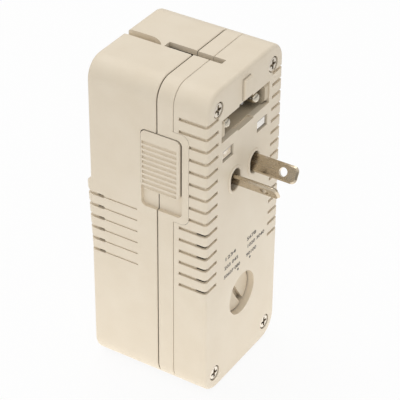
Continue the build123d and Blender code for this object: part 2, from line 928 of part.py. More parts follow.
# Side latches: ribbed slider outside, keeper plate inside
latch_low_z = recess_low_z + latch_travel + latch_gap
latch_high_z = recess_high_z - latch_gap
for side, name in ((-1, "left"), (1, "right")):
    with BuildPart() as latch_slider:
        latch_front = recess_front + latch_front_gap
        latch_rear = recess_rear - latch_gap
        add(
            side_plate(
                side,
                floor_x + slide_gap / 2,
                half_width + latch_rise,
                latch_front,
                latch_rear,
                latch_low_z,
                latch_high_z,
                latch_radius,
            )
        )
        # Bevel along the front edge
        with BuildSketch(Plane.XY.offset(latch_low_z - overrun)):
            bevel_x = side * (half_width + latch_rise)
            bevel_y = latch_front - body_depth / 2
            with BuildLine():
                Polyline(
                    (bevel_x - side * (latch_bevel + overrun), bevel_y - overrun),
                    (bevel_x + side * overrun, bevel_y + latch_bevel + overrun),
                    (bevel_x + side * overrun, bevel_y - overrun),
                    close=True,
                )
            make_face()
        extrude(amount=latch_high_z - latch_low_z + 2 * overrun, mode=Mode.SUBTRACT)
        with BuildSketch(face(latch_front + rib_front_border)):
            for rib in range(rib_count):
                rib_z = latch_high_z - rib_high_drop - rib * rib_pitch
                with Locations((side * (half_width + latch_rise), rib_z)):
                    Circle(rib_groove_radius)
        rib_length = latch_rear - rib_rear_border - latch_front - rib_front_border
        extrude(amount=-rib_length, mode=Mode.SUBTRACT)
        add(
            side_block(
                side,
                backing_x - keeper_thickness - free_gap / 2,
                floor_x + slide_gap,
                stem_depth_centre - stem_depth_width / 2,
                stem_depth_centre + stem_depth_width / 2,
                stem_z - stem_height / 2,
                stem_z + stem_height / 2,
            )
        )
        add(
            side_block(
                side,
                floor_x - nub_length,
                floor_x + slide_gap,
                nub_depth_centre - nub_size / 2,
                nub_depth_centre + nub_size / 2,
                stem_z - nub_size / 2,
                stem_z + nub_size / 2,
            )
        )
    latch_slider.part.label = "latch_slider_" + name
    export_step(latch_slider.part, "parts/latch_slider_" + name + ".step")

    with BuildPart() as latch_keeper:
        add(
            side_block(
                side,
                backing_x - keeper_thickness - free_gap / 2,
                backing_x - free_gap / 2,
                stem_depth_centre - keeper_depth_width / 2,
                stem_depth_centre + keeper_depth_width / 2,
                stem_z - keeper_height / 2,
                stem_z + keeper_height / 2,
            )
        )
        add(
            side_block(
                side,
                backing_x - overrun,
                backing_x + overrun,
                stem_depth_centre - stem_depth_width / 2 - seat_gap,
                stem_depth_centre + stem_depth_width / 2 + seat_gap,
                stem_z - stem_height / 2 - seat_gap,
                stem_z + stem_height / 2 + seat_gap,
            ),
            mode=Mode.SUBTRACT,
        )
    latch_keeper.part.label = "latch_keeper_" + name
    export_step(latch_keeper.part, "parts/latch_keeper_" + name + ".step")

# Flat blades in their turning hubs
for side, name in ((-1, "left"), (1, "right")):
    lean = radians(-side * blade_lean)
    blade_x = side * blade_spacing / 2
    across = Plane(
        origin=(blade_x, -body_depth / 2, blade_z),
        x_dir=(0, -1, 0),
        z_dir=(cos(lean), 0, sin(lean)),
    )
    with BuildPart() as blade:
        with BuildSketch(across) as blade_side:
            with Locations(((blade_reach - blade_tail_depth) / 2, 0)):
                Rectangle(blade_reach + blade_tail_depth, blade_width)
            fillet(blade_side.vertices().group_by(Axis.X)[-1], blade_tip_radius)
            with Locations((blade_hole_reach, 0)):
                Circle(blade_hole_radius, mode=Mode.SUBTRACT)
        extrude(amount=blade_thickness / 2, both=True)
        tip_edges = blade.edges().filter_by(
            lambda edge: edge.center().Y < -body_depth / 2 - blade_reach + blade_tip_radius
            and abs((edge.center() - across.origin).dot(across.z_dir)) > blade_thickness / 4
        )
        chamfer(tip_edges, blade_tip_chamfer)
    blade.part.label = "us_blade_" + name
    export_step(blade.part, "parts/us_blade_" + name + ".step")

    with BuildPart() as hub:
        add(rod(hub_flange_radius, blade_x, blade_z, hub_flange_depth,
                hub_flange_depth + hub_flange_thickness))
        add(rod(hub_radius, blade_x, blade_z, hub_flange_depth + hub_flange_thickness,
                blade_plate_depth + blade_plate_thickness))
        with BuildSketch(face(0)):
            with Locations((blade_x, blade_z)):
                Rectangle(blade_thickness + 2 * seat_gap, blade_width + 2 * seat_gap,
                          rotation=-side * blade_lean)
        extrude(amount=-(blade_plate_depth + blade_plate_thickness + overrun), mode=Mode.SUBTRACT)
    hub.part.label = "blade_hub_" + name
    export_step(hub.part, "parts/blade_hub_" + name + ".step")

# Carriage that slides the flat blades in and out on two rods
with BuildPart() as blade_carriage:
    add(
        block(-uk_plate_half_width, uk_plate_half_width, blade_plate_depth,
              blade_plate_depth + blade_plate_thickness,
              blade_z - blade_plate_half_height, blade_z + blade_plate_half_height,
              plate_corner_radius)
    )
    for side in (-1, 1):
        for radius, x in ((hub_radius + running_gap, blade_spacing / 2), (rod_radius + running_gap, rod_x)):
            add(
                rod(radius, side * x, blade_z, 0, blade_plate_depth + blade_plate_thickness + overrun),
                mode=Mode.SUBTRACT,
            )
blade_carriage.part.label = "blade_carriage"
export_step(blade_carriage.part, "parts/blade_carriage.step")

# Rectangular pins, their plastic earth pin and the carriage that pushes them out
uk_rear = uk_plate_depth + uk_plate_thickness
for side, name in ((-1, "left"), (1, "right")):
    with BuildPart() as uk_pin:
        x = side * uk_pin_spacing / 2
        add(block(x - uk_pin_width / 2, x + uk_pin_width / 2, uk_tip_depth, uk_rear,
                  uk_z - uk_pin_thickness / 2, uk_z + uk_pin_thickness / 2))
        chamfer(uk_pin.faces().sort_by(Axis.Y)[0].edges(), uk_tip_chamfer)
    uk_pin.part.label = "uk_pin_" + name
    export_step(uk_pin.part, "parts/uk_pin_" + name + ".step")

with BuildPart() as uk_earth_pin:
    add(block(-uk_earth_width / 2, uk_earth_width / 2, -uk_earth_proud, uk_rear,
              earth_z - uk_earth_height / 2, earth_z + uk_earth_height / 2))
    chamfer(uk_earth_pin.faces().sort_by(Axis.Y)[0].edges(), uk_earth_chamfer)
uk_earth_pin.part.label = "uk_earth_pin"
export_step(uk_earth_pin.part, "parts/uk_earth_pin.step")

with BuildPart() as uk_carriage:
    window_top = euro_z + recess_height / 2 + seat_gap
    add(block(-uk_plate_half_width, uk_plate_half_width, uk_plate_depth, uk_rear,
              uk_z - uk_plate_below, uk_z + uk_plate_above, plate_corner_radius))
    add(block(-uk_head_half_width, uk_head_half_width, uk_plate_depth, uk_rear,
              window_top, body_height - uk_head_top_drop, plate_corner_radius))
    add(block(slot_x - uk_tab_width / 2, slot_x + uk_tab_width / 2,
              uk_rear - uk_tab_length - free_gap, uk_rear - free_gap,
              body_height - uk_head_top_drop - plate_corner_radius, body_height - uk_tab_drop))
    add(
        block(-recess_half_width + cheek_width - slide_gap, recess_half_width - cheek_width + slide_gap,
              uk_plate_depth - overrun, uk_rear + overrun,
              euro_z - recess_height / 2 + seat_gap, window_top),
        mode=Mode.SUBTRACT,
    )
    for side in (-1, 1):
        x = side * uk_pin_spacing / 2
        add(
            block(x - uk_pin_width / 2 - seat_gap, x + uk_pin_width / 2 + seat_gap,
                  uk_plate_depth - overrun, uk_rear + overrun,
                  uk_z - uk_pin_thickness / 2 - seat_gap, uk_z + uk_pin_thickness / 2 + seat_gap),
            mode=Mode.SUBTRACT,
        )
        add(rod(rod_radius + running_gap, side * rod_x, euro_z, uk_plate_depth - overrun,
                uk_rear + overrun), mode=Mode.SUBTRACT)
    add(
        block(-uk_earth_width / 2 - seat_gap, uk_earth_width / 2 + seat_gap,
              uk_plate_depth - overrun, uk_rear + overrun,
              earth_z - uk_earth_height / 2 - seat_gap, earth_z + uk_earth_height / 2 + seat_gap),
        mode=Mode.SUBTRACT,
    )
uk_carriage.part.label = "uk_carriage"
export_step(uk_carriage.part, "parts/uk_carriage.step")

# Guide around the recess of the round pins, with two rounded cheeks in the window
with BuildPart() as euro_guide:
    add(block(-euro_guide_half_width, euro_guide_half_width, front_wall, euro_guide_rear,
              euro_z - recess_height / 2 - euro_guide_floor,
              euro_z + recess_height / 2 + euro_guide_roof))
    add(
        block(-recess_half_width + cheek_width, recess_half_width - cheek_width,
              -overrun, euro_guide_rear + overrun,
              euro_z - recess_height / 2, euro_z + recess_height / 2),
        mode=Mode.SUBTRACT,
    )
    for side in (-1, 1):
        with BuildPart(mode=Mode.PRIVATE) as cheek:
            add(side_block(side, recess_half_width - cheek_width, recess_half_width - seat_gap,
                           cheek_sink, front_wall,
                           euro_z - recess_height / 2 + slide_gap, euro_z + recess_height / 2 - slide_gap))
            cheek_edges = cheek.faces().sort_by(Axis.Y)[0].edges().filter_by(Axis.X)
            chamfer(cheek_edges, cheek_radius / 2, cheek_radius / 2 + cheek_sink)
        add(cheek.part)
        add(rod(rod_radius + seat_gap, side * rod_x, euro_z, euro_guide_rear / 2,
                euro_guide_rear + overrun), mode=Mode.SUBTRACT)
euro_guide.part.label = "euro_guide"
export_step(euro_guide.part, "parts/euro_guide.step")

# Carriage of the round pins and the two pins
euro_rear = euro_block_front + euro_block_depth
with BuildPart() as euro_carriage:
    add(block(-recess_half_width + cheek_width + window_gap, recess_half_width - cheek_width - window_gap,
              euro_block_front, euro_rear,
              euro_z - recess_height / 2 + window_gap, euro_z + recess_height / 2 - window_gap))
    for side in (-1, 1):
        for radius, x in ((euro_pin_radius + seat_gap, euro_pin_spacing / 2),
                          (euro_rod_radius + running_gap, euro_rod_x)):
            add(rod(radius, side * x, euro_z, euro_block_front - overrun, euro_rear + overrun),
                mode=Mode.SUBTRACT)
euro_carriage.part.label = "euro_carriage"
export_step(euro_carriage.part, "parts/euro_carriage.step")

for side, name in ((-1, "left"), (1, "right")):
    with BuildPart() as euro_pin:
        add(rod(euro_pin_radius, side * euro_pin_spacing / 2, euro_z, euro_tip_depth, euro_rear))
        fillet(euro_pin.faces().sort_by(Axis.Y)[0].edges(), euro_pin_radius * 3 / 4)
    euro_pin.part.label = "euro_pin_" + name
    export_step(euro_pin.part, "parts/euro_pin_" + name + ".step")

# Frame behind the bulkhead that holds the rear ends of all guide rods
guide_low_z = body_height - guide_low_drop
guide_high_z = body_height - guide_high_drop
guide_outer_x = guide_side_x + guide_side_thickness
guide_back_end = guide_back_depth + guide_back_thickness
with BuildPart() as guide_frame:
    add(block(-guide_outer_x, guide_outer_x, module_front_rear, guide_back_end, guide_low_z, guide_high_z))
    add(
        block(-guide_side_x, guide_side_x, module_front_rear - overrun, guide_back_depth,
              guide_low_z - overrun, guide_high_z + overrun),
        mode=Mode.SUBTRACT,
    )
    add(block(-guide_top_half_width, guide_top_half_width, guide_back_depth, guide_back_end,
              guide_low_z, body_height - guide_top_drop))
    for side in (-1, 1):
        lug_x = side * guide_lug_offset
        lug_z = guide_low_z - guide_lug_height / 2
        add(block(lug_x - guide_lug_width / 2, lug_x + guide_lug_width / 2, module_front_rear,
                  module_front_rear + guide_lug_thickness, guide_low_z - guide_lug_height, guide_low_z))
        add(side_block(side, guide_lug_offset, guide_outer_x, module_front_rear,
                       module_front_rear + guide_lug_thickness,
                       guide_low_z - guide_lug_height / 2, guide_low_z + guide_lug_height))
        add(side_block(side, guide_lug_offset, guide_side_x, module_front_rear - overrun,
                       guide_back_depth, guide_low_z, guide_high_z), mode=Mode.SUBTRACT)
        add(rod(lug_screw_radius + seat_gap, lug_x, lug_z, module_front_rear - overrun,
                module_front_rear + overrun), mode=Mode.SUBTRACT)
        for z, radius, x in (
            (blade_z, rod_radius, rod_x),
            (euro_z, rod_radius, rod_x),
            (euro_z, euro_rod_radius, euro_rod_x),
        ):
            add(rod(radius + seat_gap, side * x, z, guide_back_depth - overrun,
                    guide_back_end + overrun), mode=Mode.SUBTRACT)
        add(
            side_block(side, bar_inner_x - seat_gap, bar_outer_x + seat_gap,
                       guide_back_depth - overrun, guide_back_end + overrun,
                       bar_z - bar_thickness / 2 - seat_gap, bar_z + bar_thickness / 2 + seat_gap),
            mode=Mode.SUBTRACT,
        )
guide_frame.part.label = "guide_frame"
export_step(guide_frame.part, "parts/guide_frame.step")

with BuildPart() as guide_frame_screws:
    for side in (-1, 1):
        lug_x = side * guide_lug_offset
        lug_z = guide_low_z - guide_lug_height / 2
        lug_rear = module_front_rear + guide_lug_thickness
        add(rod(lug_screw_head_radius, lug_x, lug_z, lug_rear, lug_rear + lug_screw_head_height))
        add(rod(lug_screw_radius, lug_x, lug_z, lug_rear - lug_screw_length, lug_rear))
guide_frame_screws.part.label = "guide_frame_screws"
export_step(guide_frame_screws.part, "parts/guide_frame_screws.step")

# Guide rods, two to each carriage
for name, radius, x, z, start in (
    ("blade_guide_rods", rod_radius, rod_x, blade_z, rod_front + seat_gap),
    ("uk_guide_rods", rod_radius, rod_x, euro_z, euro_guide_rear / 2 + seat_gap),
    ("euro_guide_rods", euro_rod_radius, euro_rod_x, euro_z, euro_rod_front),
):
    with BuildPart() as guide_rods:
        for side in (-1, 1):
            add(rod(radius, side * x, z, start, guide_back_end))
    guide_rods.part.label = name
    export_step(guide_rods.part, "parts/" + name + ".step")

# Supply bars, and the contacts on the two carriages that wipe along them
for side, name in ((-1, "left"), (1, "right")):
    with BuildPart() as supply_bar:
        add(side_block(side, bar_inner_x, bar_outer_x, bar_front_depth, bar_rear_depth,
                       bar_z - bar_thickness / 2, bar_z + bar_thickness / 2))
    supply_bar.part.label = "supply_bar_" + name
    export_step(supply_bar.part, "parts/supply_bar_" + name + ".step")

    with BuildPart() as blade_contact:
        add(side_block(side, contact_inner_x, contact_outer_x, blade_plate_depth,
                       blade_plate_depth + blade_plate_thickness,
                       blade_z + blade_plate_half_height,
                       bar_z - bar_thickness / 2 - contact_gap))
    blade_contact.part.label = "blade_contact_" + name
    export_step(blade_contact.part, "parts/blade_contact_" + name + ".step")

    with BuildPart() as uk_contact:
        add(side_block(side, contact_inner_x, contact_outer_x, uk_plate_depth, uk_rear,
                       bar_z + bar_thickness / 2 + contact_gap, uk_z - uk_plate_below))
    uk_contact.part.label = "uk_contact_" + name
    export_step(uk_contact.part, "parts/uk_contact_" + name + ".step")

# Selector: coin-slot dial on a shaft, rotor, wiper, fixed switch base and terminals
dial_rear = dial_sink + dial_face_thickness
flange_front = dial_rear + slide_gap
flange_rear = flange_front + dial_flange_thickness
with BuildPart() as selector_dial:
    add(rod(dial_radius, dial_x, dial_z, dial_sink, flange_front))
    fillet(selector_dial.faces().sort_by(Axis.Y)[0].edges(), dial_edge_radius)
    add(rod(dial_flange_radius, dial_x, dial_z, flange_front, flange_rear))
    add(rod(shaft_radius, dial_x, dial_z, flange_rear, shaft_end))
    with BuildSketch(face(dial_sink - overrun)):
        with Locations((dial_x, dial_z)):
            Rectangle(dial_slot_width, 2 * dial_radius + overrun, rotation=dial_slot_lean)
    extrude(amount=-(overrun + dial_slot_depth), mode=Mode.SUBTRACT)
    # Shallow dish in the two halves of the face
    dish_radius = (dial_dish_rim_radius**2 + dial_dish_depth**2) / (2 * dial_dish_depth)
    with Locations((dial_x, dial_sink + dial_dish_depth - dish_radius - body_depth / 2, dial_z)):
        Sphere(dish_radius, mode=Mode.SUBTRACT)
selector_dial.part.label = "selector_dial"
export_step(selector_dial.part, "parts/selector_dial.step")

with BuildPart() as selector_rotor:
    add(tube(rotor_radius, shaft_radius + seat_gap, dial_x, dial_z, rotor_depth,
             rotor_depth + rotor_thickness))
selector_rotor.part.label = "selector_rotor"
export_step(selector_rotor.part, "parts/selector_rotor.step")

with BuildPart() as selector_wiper:
    wiper_front = rotor_depth + rotor_thickness
    with BuildSketch(face(wiper_front)):
        with Locations((dial_x, dial_z)):
            Circle(wiper_length / 2 - wiper_thickness)
            Rectangle(wiper_width, wiper_length, rotation=dial_slot_lean)
            Circle(shaft_radius + seat_gap, mode=Mode.SUBTRACT)
    extrude(amount=-wiper_thickness)
selector_wiper.part.label = "selector_wiper"
export_step(selector_wiper.part, "parts/selector_wiper.step")

with BuildPart() as switch_base:
    add(block(dial_x - switch_half_width, dial_x + switch_half_width, switch_front, web_front,
              dial_z - switch_half_height, dial_z + switch_half_height, plate_corner_radius))
    add(rod(shaft_radius + running_gap, dial_x, dial_z, switch_front - overrun,
            switch_front + switch_bore_depth), mode=Mode.SUBTRACT)
switch_base.part.label = "switch_base"
export_step(switch_base.part, "parts/switch_base.step")

with BuildPart() as switch_terminals:
    terminal_z = dial_z + switch_half_height
    for place in (-1, 0, 1):
        x = dial_x + place * terminal_spacing
        terminal_front = (switch_front + web_front) / 2
        add(block(x - terminal_width / 2, x + terminal_width / 2, terminal_front,
                  terminal_front + terminal_thickness, terminal_z, terminal_z + terminal_length))
switch_terminals.part.label = "switch_terminals"
export_step(switch_terminals.part, "parts/switch_terminals.step")

# Link pins through the bulkhead and their sockets on the circuit board
with BuildPart() as link_pins:
    for side in (-1, 1):
        add(rod(link_radius, side * link_x, link_z, link_pin_front, link_pin_rear))
link_pins.part.label = "link_pins"
export_step(link_pins.part, "parts/link_pins.step")

with BuildPart() as link_sockets:
    for side in (-1, 1):
        add(tube(link_socket_radius, link_radius + running_gap, side * link_x, link_z,
                 module_seam_depth, board_front))
link_sockets.part.label = "link_sockets"
export_step(link_sockets.part, "parts/link_sockets.step")

# Circuit board on four posts, with its screws
board_rear = board_front + board_thickness
post_places = [
    (side * (board_half_width - board_post_inset), z)
    for z in (board_low_z + board_post_inset, board_high_z - board_post_inset)
    for side in (-1, 1)
]
with BuildPart() as circuit_board:
    add(block(-board_half_width, board_half_width, board_front, board_rear, board_low_z, board_high_z))
    for x, z in post_places:
        add(rod(board_screw_radius + seat_gap, x, z, board_front - overrun, board_rear + overrun),
            mode=Mode.SUBTRACT)
circuit_board.part.label = "circuit_board"
export_step(circuit_board.part, "parts/circuit_board.step")

with BuildPart() as board_screws:
    for x, z in post_places:
        add(rod(board_screw_head_radius, x, z, board_rear, board_rear + board_screw_head_height))
        add(rod(board_screw_radius, x, z, board_rear - board_screw_length, board_rear))
board_screws.part.label = "board_screws"
export_step(board_screws.part, "parts/board_screws.step")

# Transformer: laminated core, bobbin on its middle leg, winding round the bobbin
core_mid_z = core_low_z + core_height / 2
core_leg = (core_width - 2 * core_window_width) / 3
window_x = core_leg / 2 + core_window_width / 2
with BuildPart() as transformer_core:
    with BuildSketch(face(core_front)):
        with Locations((0, core_mid_z)):
            Rectangle(core_width, core_height)
        with Locations((-window_x, core_mid_z), (window_x, core_mid_z)):
            Rectangle(core_window_width, core_window_height, mode=Mode.SUBTRACT)
    extrude(amount=-core_stack)
transformer_core.part.label = "transformer_core"
export_step(transformer_core.part, "parts/transformer_core.step")


def leg_sleeve(outer, inner, z_low, z_high):
    """Rectangular sleeve round the middle leg of the core, by its wall offsets."""
    with BuildPart() as sleeve:
        mid_y = -body_depth / 2 + core_front + core_stack / 2
        with BuildSketch(Plane.XY.offset(z_low)):
            with Locations((0, mid_y)):
                Rectangle(core_leg + 2 * outer, core_stack + 2 * outer)
                Rectangle(core_leg + 2 * inner, core_stack + 2 * inner, mode=Mode.SUBTRACT)
        extrude(amount=z_high - z_low)
    return sleeve.part


window_low_z = core_mid_z - core_window_height / 2 + slide_gap
window_high_z = core_mid_z + core_window_height / 2 - slide_gap
with BuildPart() as bobbin:
    add(leg_sleeve(bobbin_wall + seat_gap, seat_gap, window_low_z, window_high_z))
    flange_reach = bobbin_wall + winding_build
    add(leg_sleeve(flange_reach, seat_gap, window_low_z, window_low_z + bobbin_flange))
    add(leg_sleeve(flange_reach, seat_gap, window_high_z - bobbin_flange, window_high_z))
    # Feet that stand on the circuit board
    for z_low in (window_low_z, window_high_z - bobbin_leg_height):
        for side in (-1, 1):
            foot_x = side * (core_leg / 2)
            add(block(foot_x - bobbin_leg_width / 2, foot_x + bobbin_leg_width / 2, board_rear,
                      core_front - flange_reach + bobbin_wall, z_low, z_low + bobbin_leg_height))
bobbin.part.label = "transformer_bobbin"
export_step(bobbin.part, "parts/transformer_bobbin.step")

with BuildPart() as winding:
    add(leg_sleeve(winding_build, bobbin_wall + 2 * seat_gap,
                   window_low_z + bobbin_flange + seat_gap, window_high_z - bobbin_flange - seat_gap))
    fillet(winding.edges().filter_by(Axis.Z).group_by(SortBy.DISTANCE)[-1], plate_corner_radius)
    for z_low in (window_low_z, window_high_z - bobbin_leg_height):
        for side in (-1, 1):
            foot_x = side * (core_leg / 2)
            add(block(foot_x - bobbin_leg_width / 2 - seat_gap, foot_x + bobbin_leg_width / 2 + seat_gap,
                      board_rear, core_front - flange_reach + bobbin_wall + seat_gap,
                      z_low - seat_gap, z_low + bobbin_leg_height + seat_gap), mode=Mode.SUBTRACT)
winding.part.label = "transformer_winding"
export_step(winding.part, "parts/transformer_winding.step")

# Heat sink on two legs, with the power switch and the thermal cutout against it
sink_leg_top = board_high_z - 2 * board_post_inset - board_screw_head_radius
with BuildPart() as heat_sink:
    add(block(-sink_half_width, sink_half_width, sink_base_depth, sink_rear, sink_low_z, sink_high_z))
    for side in (-1, 1):
        add(side_block(side, sink_half_width - sink_leg_width, sink_half_width, board_rear,
                       sink_base_depth, sink_low_z, sink_leg_top))
        for fin in range(sink_fin_count):
            fin_outer = sink_half_width - fin * sink_fin_pitch
            add(side_block(side, fin_outer - sink_fin_thickness, fin_outer, sink_rear,
                           sink_rear + sink_fin_length, sink_low_z, sink_high_z))
heat_sink.part.label = "heat_sink"
export_step(heat_sink.part, "parts/heat_sink.step")

with BuildPart() as triac:
    add(block(-triac_width / 2, triac_width / 2, sink_base_depth - triac_thickness, sink_base_depth,
              triac_z - triac_height / 2, triac_z + triac_height / 2))
    add(block(-triac_width / 2, triac_width / 2, sink_base_depth - triac_tab_thickness, sink_base_depth,
              triac_z + triac_height / 2, triac_z + triac_height / 2 + triac_tab_height))
    for place in (-1, 0, 1):
        lead_x = place * triac_width / 4
        add(block(lead_x - terminal_thickness / 2, lead_x + terminal_thickness / 2, board_rear,
                  sink_base_depth - triac_thickness / 2,
                  triac_z - triac_height / 2 - terminal_thickness, triac_z - triac_height / 2))
triac.part.label = "triac"
export_step(triac.part, "parts/triac.step")

with BuildPart() as thermal_cutout:
    add(block(cutout_x - cutout_width / 2, cutout_x + cutout_width / 2, sink_base_depth - cutout_length,
              sink_base_depth, cutout_z - cutout_height / 2, cutout_z + cutout_height / 2))
thermal_cutout.part.label = "thermal_cutout"
export_step(thermal_cutout.part, "parts/thermal_cutout.step")

# Filter capacitor, fuse and its two clips on the board
with BuildPart() as capacitor:
    add(block(capacitor_x - capacitor_width / 2, capacitor_x + capacitor_width / 2, board_rear,
              board_rear + capacitor_length, small_part_z - capacitor_height / 2,
              small_part_z + capacitor_height / 2))
    fillet(capacitor.faces().sort_by(Axis.Y)[-1].edges(), clip_wall)
capacitor.part.label = "capacitor"
export_step(capacitor.part, "parts/capacitor.step")

fuse_y = -body_depth / 2 + board_rear + fuse_height
with BuildPart() as fuse:
    with BuildSketch(Plane.YZ.offset(fuse_x - fuse_length / 2)):
        with Locations((fuse_y, small_part_z)):
            Circle(fuse_radius)
    extrude(amount=fuse_length)
fuse.part.label = "fuse"
export_step(fuse.part, "parts/fuse.step")

with BuildPart() as fuse_clips:
    for side in (-1, 1):
        clip_mid = fuse_x + side * (fuse_length - fuse_cap_length) / 2
        with BuildPart(mode=Mode.PRIVATE) as clip:
            with BuildSketch(Plane.YZ.offset(clip_mid - clip_width / 2)):
                with Locations((fuse_y, small_part_z)):
                    Circle(fuse_radius + seat_gap + clip_wall)
                with Locations((fuse_y - fuse_height / 2, small_part_z)):
                    Rectangle(fuse_height, 2 * clip_wall)
                with Locations((fuse_y, small_part_z)):
                    Circle(fuse_radius + seat_gap, mode=Mode.SUBTRACT)
                with Locations((fuse_y + fuse_radius, small_part_z)):
                    Rectangle(fuse_radius, fuse_radius, mode=Mode.SUBTRACT)
            extrude(amount=clip_width)
        add(clip.part)
fuse_clips.part.label = "fuse_clips"
export_step(fuse_clips.part, "parts/fuse_clips.step")

# Rear outlet: insulating insert and two spring contacts behind its slots
outlet_rear = body_depth + outlet_rise
with BuildPart() as outlet_insert:
    add(block(-outlet_half_width + slide_gap, outlet_half_width - slide_gap, outlet_front, outlet_rear,
              outlet_z - outlet_half_height + slide_gap, outlet_z + outlet_half_height - slide_gap,
              outlet_radius))
    add(block(-outlet_half_width - outlet_flange, outlet_half_width + outlet_flange,
              inner_rear - outlet_flange_thickness, inner_rear,
              outlet_z - outlet_half_height - outlet_flange, outlet_z + outlet_half_height + outlet_flange))
    for side in (-1, 1):
        x = side * blade_spacing / 2
        add(block(x - outlet_cell_width / 2, x + outlet_cell_width / 2, outlet_front + outlet_back,
                  outlet_rear - outlet_face_thickness, outlet_z - outlet_cell_height / 2,
                  outlet_z + outlet_cell_height / 2), mode=Mode.SUBTRACT)
        add(block(x - outlet_slot_width / 2, x + outlet_slot_width / 2, outlet_front + overrun,
                  outlet_rear + overrun, outlet_z - outlet_slot_height / 2,
                  outlet_z + outlet_slot_height / 2), mode=Mode.SUBTRACT)
outlet_insert.part.label = "outlet_insert"
export_step(outlet_insert.part, "parts/outlet_insert.step")

for side, name in ((-1, "left"), (1, "right")):
    contact_front = outlet_front + outlet_back
    contact_rear = outlet_rear - outlet_face_thickness - free_gap
    x = side * blade_spacing / 2
    with BuildPart() as outlet_contact:
        with BuildSketch(Plane.XY.offset(outlet_z - leaf_height / 2)):
            front = -body_depth / 2
            foot = leaf_gap / 2 + leaf_thickness
            mouth = outlet_cell_width / 2 - slide_gap
            for hand in (-1, 1):
                with BuildLine():
                    Polyline(
                        (x, front + contact_front),
                        (x + hand * foot, front + contact_front),
                        (x + hand * foot, front + contact_rear - leaf_height / 4),
                        (x + hand * mouth, front + contact_rear),
                        (x + hand * (mouth - leaf_thickness), front + contact_rear),
                        (x + hand * leaf_gap / 2, front + contact_rear - leaf_height / 4),
                        (x + hand * leaf_gap / 2, front + contact_front + leaf_thickness),
                        (x, front + contact_front + leaf_thickness),
                        close=True,
                    )
                make_face()
        extrude(amount=leaf_height)
    outlet_contact.part.label = "outlet_contact_" + name
    export_step(outlet_contact.part, "parts/outlet_contact_" + name + ".step")
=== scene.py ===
import json
from math import cos, radians, sin
import bpy
from mathutils import Matrix, Vector


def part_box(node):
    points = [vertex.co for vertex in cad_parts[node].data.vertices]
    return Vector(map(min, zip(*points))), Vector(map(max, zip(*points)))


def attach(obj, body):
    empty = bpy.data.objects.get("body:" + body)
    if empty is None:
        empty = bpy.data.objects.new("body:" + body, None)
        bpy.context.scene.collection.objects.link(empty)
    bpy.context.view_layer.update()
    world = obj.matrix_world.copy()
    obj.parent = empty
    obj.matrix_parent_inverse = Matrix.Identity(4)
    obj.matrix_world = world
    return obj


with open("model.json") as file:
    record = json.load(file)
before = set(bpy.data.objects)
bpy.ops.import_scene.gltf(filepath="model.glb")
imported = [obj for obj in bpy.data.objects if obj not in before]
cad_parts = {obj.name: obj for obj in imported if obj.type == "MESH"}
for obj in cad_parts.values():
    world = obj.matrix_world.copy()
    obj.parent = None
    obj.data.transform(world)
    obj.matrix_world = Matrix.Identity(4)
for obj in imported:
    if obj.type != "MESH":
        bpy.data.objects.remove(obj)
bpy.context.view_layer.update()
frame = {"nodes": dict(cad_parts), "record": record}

MM = 0.001

# Colours of the finishes, as linear red, green, blue and alpha
BEIGE = (0.735, 0.645, 0.510, 1)
BEIGE_DEEP = (0.712, 0.618, 0.480, 1)
BEIGE_WORN = (0.840, 0.765, 0.645, 1)
# Dirt colour that also serves as painted shade in corners
GRIME_AND_SHADE = (0.240, 0.175, 0.100, 1)
SHADE_BROWN = (0.050, 0.032, 0.016, 1)
DIAL_BEIGE = (0.700, 0.605, 0.465, 1)
DIAL_DEEP = (0.650, 0.550, 0.410, 1)
INSERT_BEIGE = (0.640, 0.550, 0.410, 1)
INSERT_DEEP = (0.540, 0.450, 0.320, 1)
INNER_DARK = (0.070, 0.058, 0.044, 1)
INNER_GREY = (0.120, 0.105, 0.085, 1)
OUTLET_BROWN = (0.200, 0.145, 0.095, 1)
OUTLET_DEEP = (0.130, 0.090, 0.055, 1)
NICKEL = (0.820, 0.790, 0.740, 1)
NICKEL_DULL = (0.400, 0.355, 0.290, 1)
# Darker copy of the nickel: painted shade for the round pins deep in their window
PIN_NICKEL_SHADED = (0.560, 0.510, 0.420, 1)
# Brass tone of the blades, darkened as a painted dark reflection of their surroundings
BLADE_BRASS_SHADED = (0.540, 0.460, 0.350, 1)
BLADE_DULL_SHADED = (0.400, 0.330, 0.230, 1)
SCREW_ZINC = (0.680, 0.620, 0.530, 1)
SCREW_DULL = (0.480, 0.420, 0.340, 1)
STEEL = (0.560, 0.560, 0.570, 1)
STEEL_DULL = (0.360, 0.350, 0.340, 1)
BRASS = (0.780, 0.570, 0.250, 1)
BRASS_DULL = (0.480, 0.320, 0.120, 1)
LAMINATE = (0.330, 0.200, 0.075, 1)
LAMINATE_DEEP = (0.220, 0.125, 0.045, 1)
CORE_GREY = (0.160, 0.160, 0.170, 1)
CORE_RUST = (0.200, 0.120, 0.075, 1)
COPPER = (0.700, 0.260, 0.100, 1)
COPPER_DEEP = (0.380, 0.110, 0.040, 1)
ALUMINIUM = (0.760, 0.770, 0.780, 1)
ALUMINIUM_DULL = (0.540, 0.545, 0.550, 1)
RESIN = (0.022, 0.021, 0.020, 1)
RESIN_WORN = (0.060, 0.056, 0.052, 1)
FILM_RED = (0.360, 0.050, 0.025, 1)
FILM_DEEP = (0.230, 0.030, 0.018, 1)
FUSE_CLEAR = (0.830, 0.860, 0.850, 1)
FUSE_SMOKE = (0.560, 0.580, 0.560, 1)
INK = (0.026, 0.020, 0.015, 1)
INK_FADED = (0.085, 0.070, 0.056, 1)
WHITE = (1, 1, 1, 1)
FLOOR_WHITE = (0.86, 0.86, 0.86, 1)

# Stretch of a pattern along one axis of the object
ALONG_DEPTH = (1, 0.06, 1)
ALONG_HEIGHT = (1, 1, 0.08)
ALONG_FIBRES = (1, 1, 0.2)

